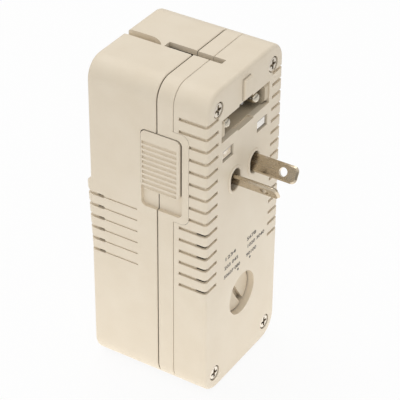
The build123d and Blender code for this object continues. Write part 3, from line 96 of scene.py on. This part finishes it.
# Sizes of surface detail, in metres
SKIN_GRAIN = 0.22 * MM
SPECK = 0.44 * MM
MOTTLE = 9 * MM
HANDLING = 26 * MM
SCRATCH = 0.35 * MM
# Reaches of the painted shade in corners and in hollows
CREVICE = 1.2 * MM
HOLLOW = 7 * MM
# Reach of the painted shade in the crevices of metal
PAINTED_SHADE_REACH = 2.5 * MM
EDGE_BAND = 0.35 * MM
SHEET = 0.5 * MM
WIRE_TURN = 0.45 * MM

# Accuracy of the crevice and edge masks, and how far normals agree on open faces and on edges
CREVICE_SAMPLES = 6
EDGE_SAMPLES = 4
OPEN_FACE_AGREEMENT = 0.995
EDGE_AGREEMENT = 0.80

# Middle of a pattern's values, over which most of the finishes fade
MIDDLE_FADE = (0.3, 0.7)


class Wire:
    """A value that comes out of a node, on which arithmetic adds Math nodes."""

    def __init__(self, finish, socket):
        self.finish = finish
        self.socket = socket

    def merged(self, operation, first, second):
        settings = {"operation": operation}
        return self.finish.node("ShaderNodeMath", settings, {0: first, 1: second})["Value"]

    def __add__(self, other):
        return self.merged("ADD", self, other)

    def __sub__(self, other):
        return self.merged("SUBTRACT", self, other)

    def __rsub__(self, other):
        return self.merged("SUBTRACT", other, self)

    def __mul__(self, other):
        return self.merged("MULTIPLY", self, other)

    def __pow__(self, other):
        return self.merged("POWER", self, other)


class Finish:
    """The nodes of a material or of the world."""

    def __init__(self, owner):
        owner.use_nodes = True
        self.owner = owner
        self.tree = owner.node_tree
        self.tree.nodes.clear()

    def node(self, kind, settings=None, inputs=None):
        """Adds a node, makes its settings, feeds its sockets and returns its outputs by name."""
        made = self.tree.nodes.new(kind)
        for key, value in (settings or {}).items():
            setattr(made, key, value)
        by_name = {socket.identifier: socket for socket in made.inputs}
        for key, value in (inputs or {}).items():
            socket = made.inputs[key] if isinstance(key, int) else by_name[key]
            if isinstance(value, Wire):
                self.tree.links.new(value.socket, socket)
            else:
                socket.default_value = value
        return {socket.identifier: Wire(self, socket) for socket in made.outputs}

    def place(self, stretch=(1, 1, 1)):
        """Object coordinates, stretched along the axes."""
        coords = self.node("ShaderNodeTexCoord")["Object"]
        if stretch == (1, 1, 1):
            return coords
        return self.node("ShaderNodeMapping", {}, {"Vector": coords, "Scale": stretch})["Vector"]

    def noise(self, size, detail=2.0, stretch=(1, 1, 1)):
        """Cloudy pattern from 0 to 1 whose patches have the size given in metres."""
        values = {"Vector": self.place(stretch), "Scale": 1 / size, "Detail": detail}
        return self.node("ShaderNodeTexNoise", {}, values)["Fac"]

    def cells(self, size):
        """Distance pattern of small cells whose size is given in metres."""
        values = {"Vector": self.place(), "Scale": 1 / size}
        return self.node("ShaderNodeTexVoronoi", {}, values)["Distance"]

    def stripes(self, axis, size):
        """Zigzag from 0 to 0.5 and back along one axis, once in each size given in metres."""
        along = self.node("ShaderNodeSeparateXYZ", {}, {"Vector": self.place()})[axis]
        values = {0: along * (1 / size), 1: 0.5}
        return self.node("ShaderNodeMath", {"operation": "PINGPONG"}, values)["Value"]

    def spread(self, value, low, high, to_low=0.0, to_high=1.0):
        """Stretches the part of a value between two limits over a new range, and holds its ends."""
        limits = {"Value": value, "From Min": low, "From Max": high, "To Min": to_low, "To Max": to_high}
        return self.node("ShaderNodeMapRange", {"clamp": True}, limits)["Result"]

    def mixed(self, share, low, high):
        """Colour between two others."""
        settings = {"data_type": "RGBA", "clamp_factor": True}
        values = {"Factor_Float": share, "A_Color": low, "B_Color": high}
        return self.node("ShaderNodeMix", settings, values)["Result_Color"]

    def crevice(self, reach):
        """Mask that is 1 deep in grooves and corners, and 0 on open faces."""
        settings = {"samples": CREVICE_SAMPLES, "only_local": False}
        seen = self.node("ShaderNodeAmbientOcclusion", settings, {"Distance": reach})["AO"]
        return 1 - seen

    def edges(self, reach):
        """Mask that is 1 along sharp edges, from the angle between the true and the softened normal."""
        soft = self.node("ShaderNodeBevel", {"samples": EDGE_SAMPLES}, {"Radius": reach})["Normal"]
        true = self.node("ShaderNodeNewGeometry")["True Normal"]
        agree = self.node("ShaderNodeVectorMath", {"operation": "DOT_PRODUCT"}, {0: soft, 1: true})
        return self.spread(agree["Value"], OPEN_FACE_AGREEMENT, EDGE_AGREEMENT)

    def bump(self, height, depth, strength=1.0):
        """Normal of a relief whose depth is given in metres."""
        values = {"Height": height, "Distance": depth, "Strength": strength}
        return self.node("ShaderNodeBump", {}, values)["Normal"]

    def done(self, values):
        """Closes the material with one Principled shader."""
        shader = self.node("ShaderNodeBsdfPrincipled", {}, values)["BSDF"]
        self.node("ShaderNodeOutputMaterial", {}, {"Surface": shader})
        return self.owner


def new_finish(name):
    """Empty material under a name."""
    return Finish(bpy.data.materials.new(name))


# Moulded plastic: where its patterns and masks fade in, and the share of each in the colour
MOTTLE_FADE = (0.32, 0.68)
SKIN_FADE = (0.35, 0.75)
SKIN_SHARE = 0.16
RUBBED_FADE = (0.35, 0.6)
RUBBED_SHARE = 0.35
# Dirt and painted shade in corners
GRIME_AND_SHADE_FADE = (0.45, 1.0)
GRIME_AND_SHADE_SHARE = 0.22
# Painted shade deep in corners
CORNER_SHADE_FADE = (0.72, 0.95)
CORNER_SHADE_SHARE = 0.8
# Painted shade in hollows
HOLLOW_SHADE_FADE = (0.80, 0.95)
HOLLOW_SHADE_SHARE = 0.95
# Its roughness: how far handling and the skin move it, and how much smoother the edges are
HANDLED_SMOOTHER = 0.07
HANDLED_ROUGHER = 0.06
SKIN_SMOOTHER = 0.04
SKIN_ROUGHER = 0.05
EDGE_SMOOTHER = 0.08
# Its relief, and how strongly it bends the light
SKIN_RELIEF_SHARE = 0.8
SPECK_RELIEF_SHARE = 0.2
PLASTIC_RELIEF = 0.55
PLASTIC_IOR = 1.48


def moulded_plastic(name, light, deep, worn, roughness=0.5, grain_depth=0.02 * MM, hollow_shade_fade=HOLLOW_SHADE_FADE):
    """Moulded plastic with a fine skin, faint mottling, rubbed edges, dirt and painted shade in corners, and
    painted shade in hollows.
    """
    finish = new_finish(name)
    mottle = finish.noise(MOTTLE, detail=4)
    handled = finish.noise(HANDLING, detail=2)
    skin = finish.noise(SKIN_GRAIN, detail=3)
    speck = finish.cells(SPECK)
    corner_mask = finish.crevice(CREVICE)
    hollow_mask = finish.crevice(HOLLOW)
    edge_mask = finish.edges(EDGE_BAND)
    colour = finish.mixed(finish.spread(mottle, *MOTTLE_FADE), deep, light)
    colour = finish.mixed(finish.spread(skin, *SKIN_FADE) * SKIN_SHARE, colour, worn)
    rubbed = edge_mask * finish.spread(handled, *RUBBED_FADE)
    colour = finish.mixed(rubbed * RUBBED_SHARE, colour, worn)
    # Corners take a share of dirt and painted shade
    colour = finish.mixed(finish.spread(corner_mask, *GRIME_AND_SHADE_FADE) * GRIME_AND_SHADE_SHARE, colour, GRIME_AND_SHADE)
    # Painted shade deep in the corners
    colour = finish.mixed(finish.spread(corner_mask, *CORNER_SHADE_FADE) * CORNER_SHADE_SHARE, colour, SHADE_BROWN)
    # Painted shade in the hollows
    colour = finish.mixed(finish.spread(hollow_mask, *hollow_shade_fade) * HOLLOW_SHADE_SHARE, colour, SHADE_BROWN)
    rough = finish.spread(handled, *MIDDLE_FADE, roughness - HANDLED_SMOOTHER, roughness + HANDLED_ROUGHER)
    rough = rough + finish.spread(skin, *MIDDLE_FADE, -SKIN_SMOOTHER, SKIN_ROUGHER)
    rough = rough - edge_mask * EDGE_SMOOTHER
    height = skin * SKIN_RELIEF_SHARE + speck * SPECK_RELIEF_SHARE
    normal = finish.bump(height, grain_depth, PLASTIC_RELIEF)
    return finish.done({"Base Color": colour, "Roughness": rough, "Normal": normal, "IOR": PLASTIC_IOR})


# Plated metal: its dull patches, drawn scratches and painted shade in its corners, and what they do to the
# roughness
PATCH = 2.6 * MM
PIT = 0.5 * MM
PATCH_FADE = (0.42, 0.72)
SCRATCH_FADE = (0.55, 0.75)
SCRATCH_SHARE = 0.2
PAINTED_SHADE_FADE = (0.3, 0.85)
PATCH_ROUGH_FADE = (0.35, 0.75)
PATCH_ROUGHER = 0.2
SCRATCH_ROUGH_FADE = (0.4, 0.7)
SCRATCH_SMOOTHER = 0.03
SCRATCH_ROUGHER = 0.08
SCRATCH_RELIEF_SHARE = 0.7
PIT_RELIEF_SHARE = 0.3


def plated_metal(
    name, bright, dull, stretch, roughness=0.24, painted_shade_share=0.6, painted_shade_reach=0.8 * MM, patch_share=0.3,
    relief=0.004 * MM
):
    """Plated metal with drawn scratches along its length, dull patches and painted shade in its crevices."""
    finish = new_finish(name)
    lines = finish.noise(SCRATCH, detail=3, stretch=stretch)
    patches = finish.noise(PATCH, detail=4)
    pits = finish.noise(PIT, detail=2)
    colour = finish.mixed(finish.spread(patches, *PATCH_FADE) * patch_share, bright, dull)
    colour = finish.mixed(finish.spread(lines, *SCRATCH_FADE) * SCRATCH_SHARE, colour, dull)
    # Painted shade in the crevices, mixed towards the shade brown
    painted_shade = finish.spread(finish.crevice(painted_shade_reach), *PAINTED_SHADE_FADE) * painted_shade_share
    colour = finish.mixed(painted_shade, colour, SHADE_BROWN)
    rough = finish.spread(patches, *PATCH_ROUGH_FADE, roughness, roughness + PATCH_ROUGHER)
    rough = rough + finish.spread(lines, *SCRATCH_ROUGH_FADE, -SCRATCH_SMOOTHER, SCRATCH_ROUGHER)
    normal = finish.bump(lines * SCRATCH_RELIEF_SHARE + pits * PIT_RELIEF_SHARE, relief)
    return finish.done({"Base Color": colour, "Metallic": 1.0, "Roughness": rough, "Normal": normal})


def laminate(name):
    """Paper laminate of a circuit board, with its fibres and a varnish."""
    finish = new_finish(name)
    fibre_size, fibre_depth, stain_size, stain_share = 0.5 * MM, 0.02 * MM, 5 * MM, 0.3
    fibres = finish.noise(fibre_size, detail=4, stretch=ALONG_FIBRES)
    stains = finish.noise(stain_size, detail=3)
    colour = finish.mixed(finish.spread(fibres, *MIDDLE_FADE), LAMINATE_DEEP, LAMINATE)
    stained = finish.spread(stains, low=0.5, high=0.8) * stain_share
    colour = finish.mixed(stained, colour, LAMINATE_DEEP)
    rough = finish.spread(fibres, *MIDDLE_FADE, to_low=0.32, to_high=0.5)
    normal = finish.bump(fibres, fibre_depth)
    return finish.done({"Base Color": colour, "Roughness": rough, "Normal": normal})


def stacked_sheets(name):
    """Varnished steel sheets, seen as thin lines across the depth of the core."""
    finish = new_finish(name)
    rust_size, rust_share, gap_share, gap_depth, metal_share = 3 * MM, 0.7, 0.6, 0.05 * MM, 0.7
    gap = finish.spread(finish.stripes("Y", SHEET), low=0.0, high=0.16, to_low=1.0, to_high=0.0)
    rust = finish.noise(rust_size, detail=5)
    rusty = finish.spread(rust, low=0.5, high=0.75) * rust_share
    colour = finish.mixed(rusty, CORE_GREY, CORE_RUST)
    colour = finish.mixed(gap * gap_share, colour, RESIN)
    rough = finish.spread(rust, *MIDDLE_FADE, to_low=0.35, to_high=0.6)
    normal = finish.bump(1 - gap, gap_depth, strength=0.7)
    return finish.done({"Base Color": colour, "Metallic": metal_share, "Roughness": rough, "Normal": normal})


def wound_wire(name):
    """Enamelled copper turns lying side by side up the height of the winding."""
    finish = new_finish(name)
    tint_size, turn_depth, metal_share, roundness = 1.5 * MM, 0.18 * MM, 0.8, 0.5
    crown = finish.spread(finish.stripes("Z", WIRE_TURN), low=0.0, high=0.5) ** roundness
    tint = finish.noise(tint_size, detail=3)
    lit = crown * finish.spread(tint, low=0.2, high=0.8, to_low=0.6, to_high=1.0)
    colour = finish.mixed(lit, COPPER_DEEP, COPPER)
    rough = finish.spread(tint, *MIDDLE_FADE, to_low=0.22, to_high=0.36)
    normal = finish.bump(crown, turn_depth)
    return finish.done({"Base Color": colour, "Metallic": metal_share, "Roughness": rough, "Normal": normal})


def dipped_film(name):
    """Glossy dipped coat of the capacitor, with soft sags."""
    finish = new_finish(name)
    sag_size, sag_depth = 2.2 * MM, 0.12 * MM
    sags = finish.noise(sag_size, detail=2)
    colour = finish.mixed(finish.spread(sags, *MIDDLE_FADE), FILM_DEEP, FILM_RED)
    rough = finish.spread(sags, *MIDDLE_FADE, to_low=0.16, to_high=0.3)
    return finish.done({"Base Color": colour, "Roughness": rough, "Normal": finish.bump(sags, sag_depth)})


def smoky_glass(name):
    """Glass tube of the fuse, a little smoked."""
    finish = new_finish(name)
    smoke_size, smoke_share, glass_ior, clear_share = 1.8 * MM, 0.7, 1.5, 0.6
    smoke = finish.noise(smoke_size, detail=3)
    smoked = finish.spread(smoke, low=0.4, high=0.75) * smoke_share
    colour = finish.mixed(smoked, FUSE_CLEAR, FUSE_SMOKE)
    rough = finish.spread(smoke, *MIDDLE_FADE, to_low=0.05, to_high=0.16)
    return finish.done({
        "Base Color": colour,
        "Roughness": rough,
        "IOR": glass_ior,
        "Transmission Weight": clear_share,
    })


def printed_ink(name):
    """Thin printed ink, faded in places."""
    finish = new_finish(name)
    fade_size, fade_share, ink_depth = 0.5 * MM, 0.7, 0.01 * MM
    fade = finish.noise(fade_size, detail=4)
    faded = finish.spread(fade, low=0.45, high=0.75) * fade_share
    colour = finish.mixed(faded, INK, INK_FADED)
    rough = finish.spread(fade, *MIDDLE_FADE, to_low=0.45, to_high=0.6)
    return finish.done({"Base Color": colour, "Roughness": rough, "Normal": finish.bump(fade, ink_depth)})


case_plastic = moulded_plastic("case_plastic", BEIGE, BEIGE_DEEP, BEIGE_WORN)
latch_plastic = moulded_plastic(
    "latch_plastic", BEIGE, BEIGE_DEEP, BEIGE_WORN, roughness=0.46, grain_depth=0.014 * MM
)
dial_plastic = moulded_plastic(
    "dial_plastic", DIAL_BEIGE, DIAL_DEEP, BEIGE, roughness=0.48, grain_depth=0.015 * MM,
    hollow_shade_fade=(0.80, 1.0)
)
# The insert's hollows take more painted shade, from a lower hollow fade
insert_plastic = moulded_plastic(
    "insert_plastic", INSERT_BEIGE, INSERT_DEEP, BEIGE_DEEP, grain_depth=0.015 * MM, hollow_shade_fade=(0.52, 0.82)
)
inner_plastic = moulded_plastic("inner_plastic", INNER_GREY, INNER_DARK, INNER_GREY, roughness=0.55)
outlet_plastic = moulded_plastic("outlet_plastic", OUTLET_BROWN, OUTLET_DEEP, INSERT_DEEP, roughness=0.42)
black_resin = moulded_plastic("black_resin", RESIN_WORN, RESIN, RESIN_WORN)
# The metals below take painted shade in their crevices, by the share and reach given
nickel = plated_metal(
    "nickel", NICKEL, NICKEL_DULL, ALONG_DEPTH, roughness=0.14, painted_shade_share=0.97, painted_shade_reach=HOLLOW
)
# Blades: brass darkened as a painted dark reflection
blade_metal = plated_metal(
    "blade_metal", BLADE_BRASS_SHADED, BLADE_DULL_SHADED, ALONG_DEPTH, roughness=0.16, painted_shade_share=0.9,
    painted_shade_reach=PAINTED_SHADE_REACH, patch_share=0.1, relief=0.0015 * MM
)
# Round pins: nickel darkened as painted shade
pin_metal = plated_metal(
    "pin_metal", PIN_NICKEL_SHADED, NICKEL_DULL, ALONG_DEPTH, roughness=0.12, painted_shade_share=0.9,
    painted_shade_reach=PAINTED_SHADE_REACH, patch_share=0.15
)
screw_metal = plated_metal(
    "screw_metal", SCREW_ZINC, SCREW_DULL, (1, 1, 1), roughness=0.3, painted_shade_share=0.95
)
steel = plated_metal(
    "steel", STEEL, STEEL_DULL, ALONG_DEPTH, roughness=0.3, painted_shade_share=0.9, painted_shade_reach=HOLLOW
)
brass = plated_metal(
    "brass", BRASS, BRASS_DULL, ALONG_DEPTH, roughness=0.28, painted_shade_share=0.9, painted_shade_reach=HOLLOW
)
sink_metal = plated_metal(
    "sink_metal", ALUMINIUM, ALUMINIUM_DULL, ALONG_HEIGHT, roughness=0.34, painted_shade_share=0.95,
    painted_shade_reach=HOLLOW
)
board = laminate("board_laminate")
core = stacked_sheets("core_sheets")
winding = wound_wire("winding_wire")
film = dipped_film("capacitor_film")
glass = smoky_glass("fuse_glass")
ink = printed_ink("print_ink")

FINISH_OF_SLOT = {
    "case_plastic": case_plastic,
    "latch_plastic": latch_plastic,
    "dial_plastic": dial_plastic,
    "insert_plastic": insert_plastic,
    "inner_plastic": inner_plastic,
    "outlet_plastic": outlet_plastic,
    "plated_metal": nickel,
    "steel": steel,
    "brass_contact": brass,
    "board_laminate": board,
    "core_steel": core,
    "copper_winding": winding,
    "sink_aluminium": sink_metal,
    "black_resin": black_resin,
    "capacitor_film": film,
    "fuse_glass": glass,
}
FINISH_OF_NODE = {
    "face_screws": screw_metal,
    "euro_pin_left": pin_metal,
    "euro_pin_right": pin_metal,
    "us_blade_left": blade_metal,
    "us_blade_right": blade_metal,
    "blade_hub_left": dial_plastic,
    "blade_hub_right": dial_plastic,
}


def dress_nodes():
    """Gives every part of the frame its own finish, or else that of its record slot."""
    slot_of = {entry["node"]: entry["material_slot"] for entry in frame["record"]["subparts"]}
    for name, part in frame["nodes"].items():
        finish = FINISH_OF_NODE.get(name, FINISH_OF_SLOT[slot_of[name]])
        part.data.materials.clear()
        part.data.materials.append(finish)
        for face in part.data.polygons:
            face.material_index = 0


# Front face of the case, on which the marks are printed; the blade rims stand this far in front of it
BLADE_RIM_RISE = 0.45 * MM
face_low, face_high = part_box("front_shell")
FRONT_Y = face_low.y + BLADE_RIM_RISE
PRINT_LIFT = 0.03 * MM
PRINT_THICKNESS = 0.03 * MM
LETTER_CURVE_STEPS = 3
DOT_SIDES = 24
DOT_RIM_SEGMENTS = 2
FACING_FRONT = (radians(90), 0, 0)


def settle(piece, name, finish):
    """Applies a piece's place to its mesh, names it and gives it its finish and its body."""
    bpy.ops.object.select_all(action="DESELECT")
    piece.select_set(True)
    bpy.context.view_layer.objects.active = piece
    bpy.ops.object.transform_apply(location=True, rotation=True, scale=True)
    piece.name = name
    piece.data.name = name
    piece.data.materials.clear()
    piece.data.materials.append(finish)
    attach(piece, "case")


def printed_line(name, words, x, z, width):
    """One line of plain numbers printed on the front face, from its left end over a width."""
    spot = (x * MM, FRONT_Y - PRINT_LIFT, z * MM)
    bpy.ops.object.select_all(action="DESELECT")
    bpy.ops.object.text_add(location=spot, rotation=FACING_FRONT)
    line = bpy.context.object
    line.data.body = words
    line.data.size = PRINT_HEIGHT * MM
    line.data.offset = PRINT_WEIGHT * MM
    line.data.extrude = PRINT_THICKNESS / 2
    line.data.resolution_u = LETTER_CURVE_STEPS
    bpy.context.view_layer.update()
    line.scale.x = width * MM / line.dimensions.x
    bpy.ops.object.convert(target="MESH")
    settle(bpy.context.object, name, ink)


def printed_dot(name, x, z, radius):
    """Small printed index dot beside the dial."""
    spot = (x * MM, FRONT_Y - PRINT_LIFT, z * MM)
    bpy.ops.object.select_all(action="DESELECT")
    bpy.ops.mesh.primitive_cylinder_add(
        vertices=DOT_SIDES, radius=radius * MM, depth=PRINT_THICKNESS, location=spot, rotation=FACING_FRONT
    )
    dot = bpy.context.object
    rim = dot.modifiers.new("rim", "BEVEL")
    rim.width = PRINT_THICKNESS / 3
    rim.segments = DOT_RIM_SEGMENTS
    bpy.ops.object.modifier_apply(modifier=rim.name)
    settle(dot, name, ink)


# Two blocks of plain numbers above the dial, and an index dot under each. A line has its left end,
# its height on the face and its width, a dot its centre, all in millimetres
PRINT_HEIGHT = 2.0
PRINT_WEIGHT = 0.025
PRINT_LINES = (
    ("left_line_top", "1234", -12.1, 53.1, 6.8),
    ("left_line_middle", "203 045", -12.1, 49.4, 9.1),
    ("left_line_low", "50607 080", -12.3, 45.7, 10.7),
    ("right_line_top", "5678", 2.9, 52.9, 6.2),
    ("right_line_middle", "1020 3040", 3.1, 49.6, 11.4),
    ("right_line_low", "90100", 2.7, 46.1, 6.8),
)
PRINT_DOTS = (("left_dot", -2.84, 44.4), ("right_dot", 5.3, 44.8))
DOT_RADIUS = 0.5

# The camera stands where the photo's did: its direction, distance and the point that it faces
CAMERA_AZIMUTH = -58.212
CAMERA_ELEVATION = 34.589
CAMERA_ROLL = 0.516
CAMERA_DISTANCE = 638.646 * MM
CAMERA_TARGET = Vector((14.36 * MM, 26.55 * MM + FRONT_Y, 53.953 * MM))
CAMERA_LENS = 159.09
SENSOR_WIDTH = 36.0
NEAREST_SEEN = 0.01
FARTHEST_SEEN = 20


def turned(azimuth, elevation):
    """Unit vector towards a viewer at an azimuth and an elevation given in degrees."""
    a = radians(azimuth)
    e = radians(elevation)
    return Vector((sin(a) * cos(e), -cos(a) * cos(e), sin(e)))


def add_camera():
    """Camera at the photo's viewing angle."""
    back = turned(CAMERA_AZIMUTH, CAMERA_ELEVATION)
    right = Vector((cos(radians(CAMERA_AZIMUTH)), sin(radians(CAMERA_AZIMUTH)), 0))
    up = back.cross(right)
    roll = radians(CAMERA_ROLL)
    rolled_right = cos(roll) * right + sin(roll) * up
    rolled_up = cos(roll) * up - sin(roll) * right
    turn = Matrix((rolled_right, rolled_up, back)).transposed()
    data = bpy.data.cameras.new("camera")
    data.lens = CAMERA_LENS
    data.sensor_width = SENSOR_WIDTH
    data.clip_start = NEAREST_SEEN
    data.clip_end = FARTHEST_SEEN
    camera = bpy.data.objects.new("camera", data)
    camera.matrix_world = Matrix.Translation(CAMERA_TARGET + back * CAMERA_DISTANCE) @ turn.to_4x4()
    bpy.context.scene.collection.objects.link(camera)
    bpy.context.scene.camera = camera


def add_lamp(name, azimuth, elevation, distance, size, power):
    """Soft square lamp that faces the middle of the object's height."""
    towards = turned(azimuth, elevation)
    middle = Vector((0, 0, face_high.z / 2))
    data = bpy.data.lights.new(name, "AREA")
    data.size = size
    data.energy = power
    lamp = bpy.data.objects.new(name, data)
    lamp.location = middle + towards * distance
    lamp.rotation_euler = towards.to_track_quat("Z", "Y").to_euler()
    bpy.context.scene.collection.objects.link(lamp)


# Strength of the room's light, of what metal mirrors at the horizon, and the height of its full strength
ROOM_LIGHT = 0.70
SKYLINE_LEVEL = 0.25
SKYLINE_TOP = 0.8
# Floor: its size in metres, and how much of its white is kept from the shadow when it is looked at
FLOOR_SIZE = 6
FLOOR_GLOW_SHARE = 0.9
# Lamp in place of the light that the table sends back up close round the object
TABLE_GLOW_SIZE = 250 * MM
TABLE_GLOW_POWER = 0.11
TABLE_GLOW_LIFT = 0.5 * MM
FACING_UP = (radians(180), 0, 0)


def add_table_glow():
    """Soft light from the white table close round the object, which lifts the foot of its sides."""
    data = bpy.data.lights.new("table_glow", "AREA")
    data.size = TABLE_GLOW_SIZE
    data.energy = TABLE_GLOW_POWER
    lamp = bpy.data.objects.new("table_glow", data)
    lamp.location = (0, 0, TABLE_GLOW_LIFT)
    lamp.rotation_euler = FACING_UP
    lamp.visible_camera = False
    bpy.context.scene.collection.objects.link(lamp)


def add_room():
    """White surroundings that light the object softly, and that metal mirrors dimmer near the horizon."""
    world = bpy.data.worlds.new("room")
    bpy.context.scene.world = world
    room = Finish(world)
    paths = room.node("ShaderNodeLightPath")
    direction = room.node("ShaderNodeTexCoord")["Generated"]
    height = room.node("ShaderNodeSeparateXYZ", {}, {"Vector": direction})["Z"]
    skyline = room.spread(height, 0.0, SKYLINE_TOP, SKYLINE_LEVEL, 1.0)
    mirrored = paths["Is Glossy Ray"] + paths["Is Transmission Ray"]
    level = room.spread(mirrored, 0.0, 1.0, ROOM_LIGHT, skyline)
    level = room.spread(paths["Is Camera Ray"], 0.0, 1.0, level, 1.0)
    light = room.node("ShaderNodeBackground", {}, {"Color": WHITE, "Strength": level})["Background"]
    room.node("ShaderNodeOutputWorld", {}, {"Surface": light})


def add_floor():
    """Pale floor that keeps a faint shadow of the object."""
    bpy.ops.object.select_all(action="DESELECT")
    bpy.ops.mesh.primitive_plane_add(size=FLOOR_SIZE, location=(0, 0, 0))
    floor = bpy.context.object
    floor.name = "floor"
    finish = new_finish("floor_white")
    paths = finish.node("ShaderNodeLightPath")
    seen = paths["Is Camera Ray"] + paths["Is Glossy Ray"] + paths["Is Transmission Ray"]
    matte = finish.node("ShaderNodeBsdfDiffuse", {}, {"Color": FLOOR_WHITE})["BSDF"]
    glow = finish.node("ShaderNodeEmission", {}, {"Color": WHITE, "Strength": 1.0})["Emission"]
    share = finish.spread(seen, 0.0, 1.0, 0.0, FLOOR_GLOW_SHARE)
    mix = finish.node("ShaderNodeMixShader", {}, {0: share, 1: matte, 2: glow})["Shader"]
    finish.node("ShaderNodeOutputMaterial", {}, {"Surface": mix})
    floor.data.materials.append(finish.owner)


dress_nodes()
for line_name, words, line_x, line_z, line_width in PRINT_LINES:
    printed_line(line_name, words, line_x, line_z, line_width)
for dot_name, dot_x, dot_z in PRINT_DOTS:
    printed_dot(dot_name, dot_x, dot_z, DOT_RADIUS)

add_camera()
add_lamp("top_lamp", azimuth=150, elevation=70, distance=1.2, size=0.9, power=4.7)
add_lamp("side_lamp", azimuth=-65, elevation=30, distance=1.3, size=1.0, power=2.5)
add_table_glow()
add_room()
add_floor()
bpy.context.scene.view_settings.view_transform = "Standard"
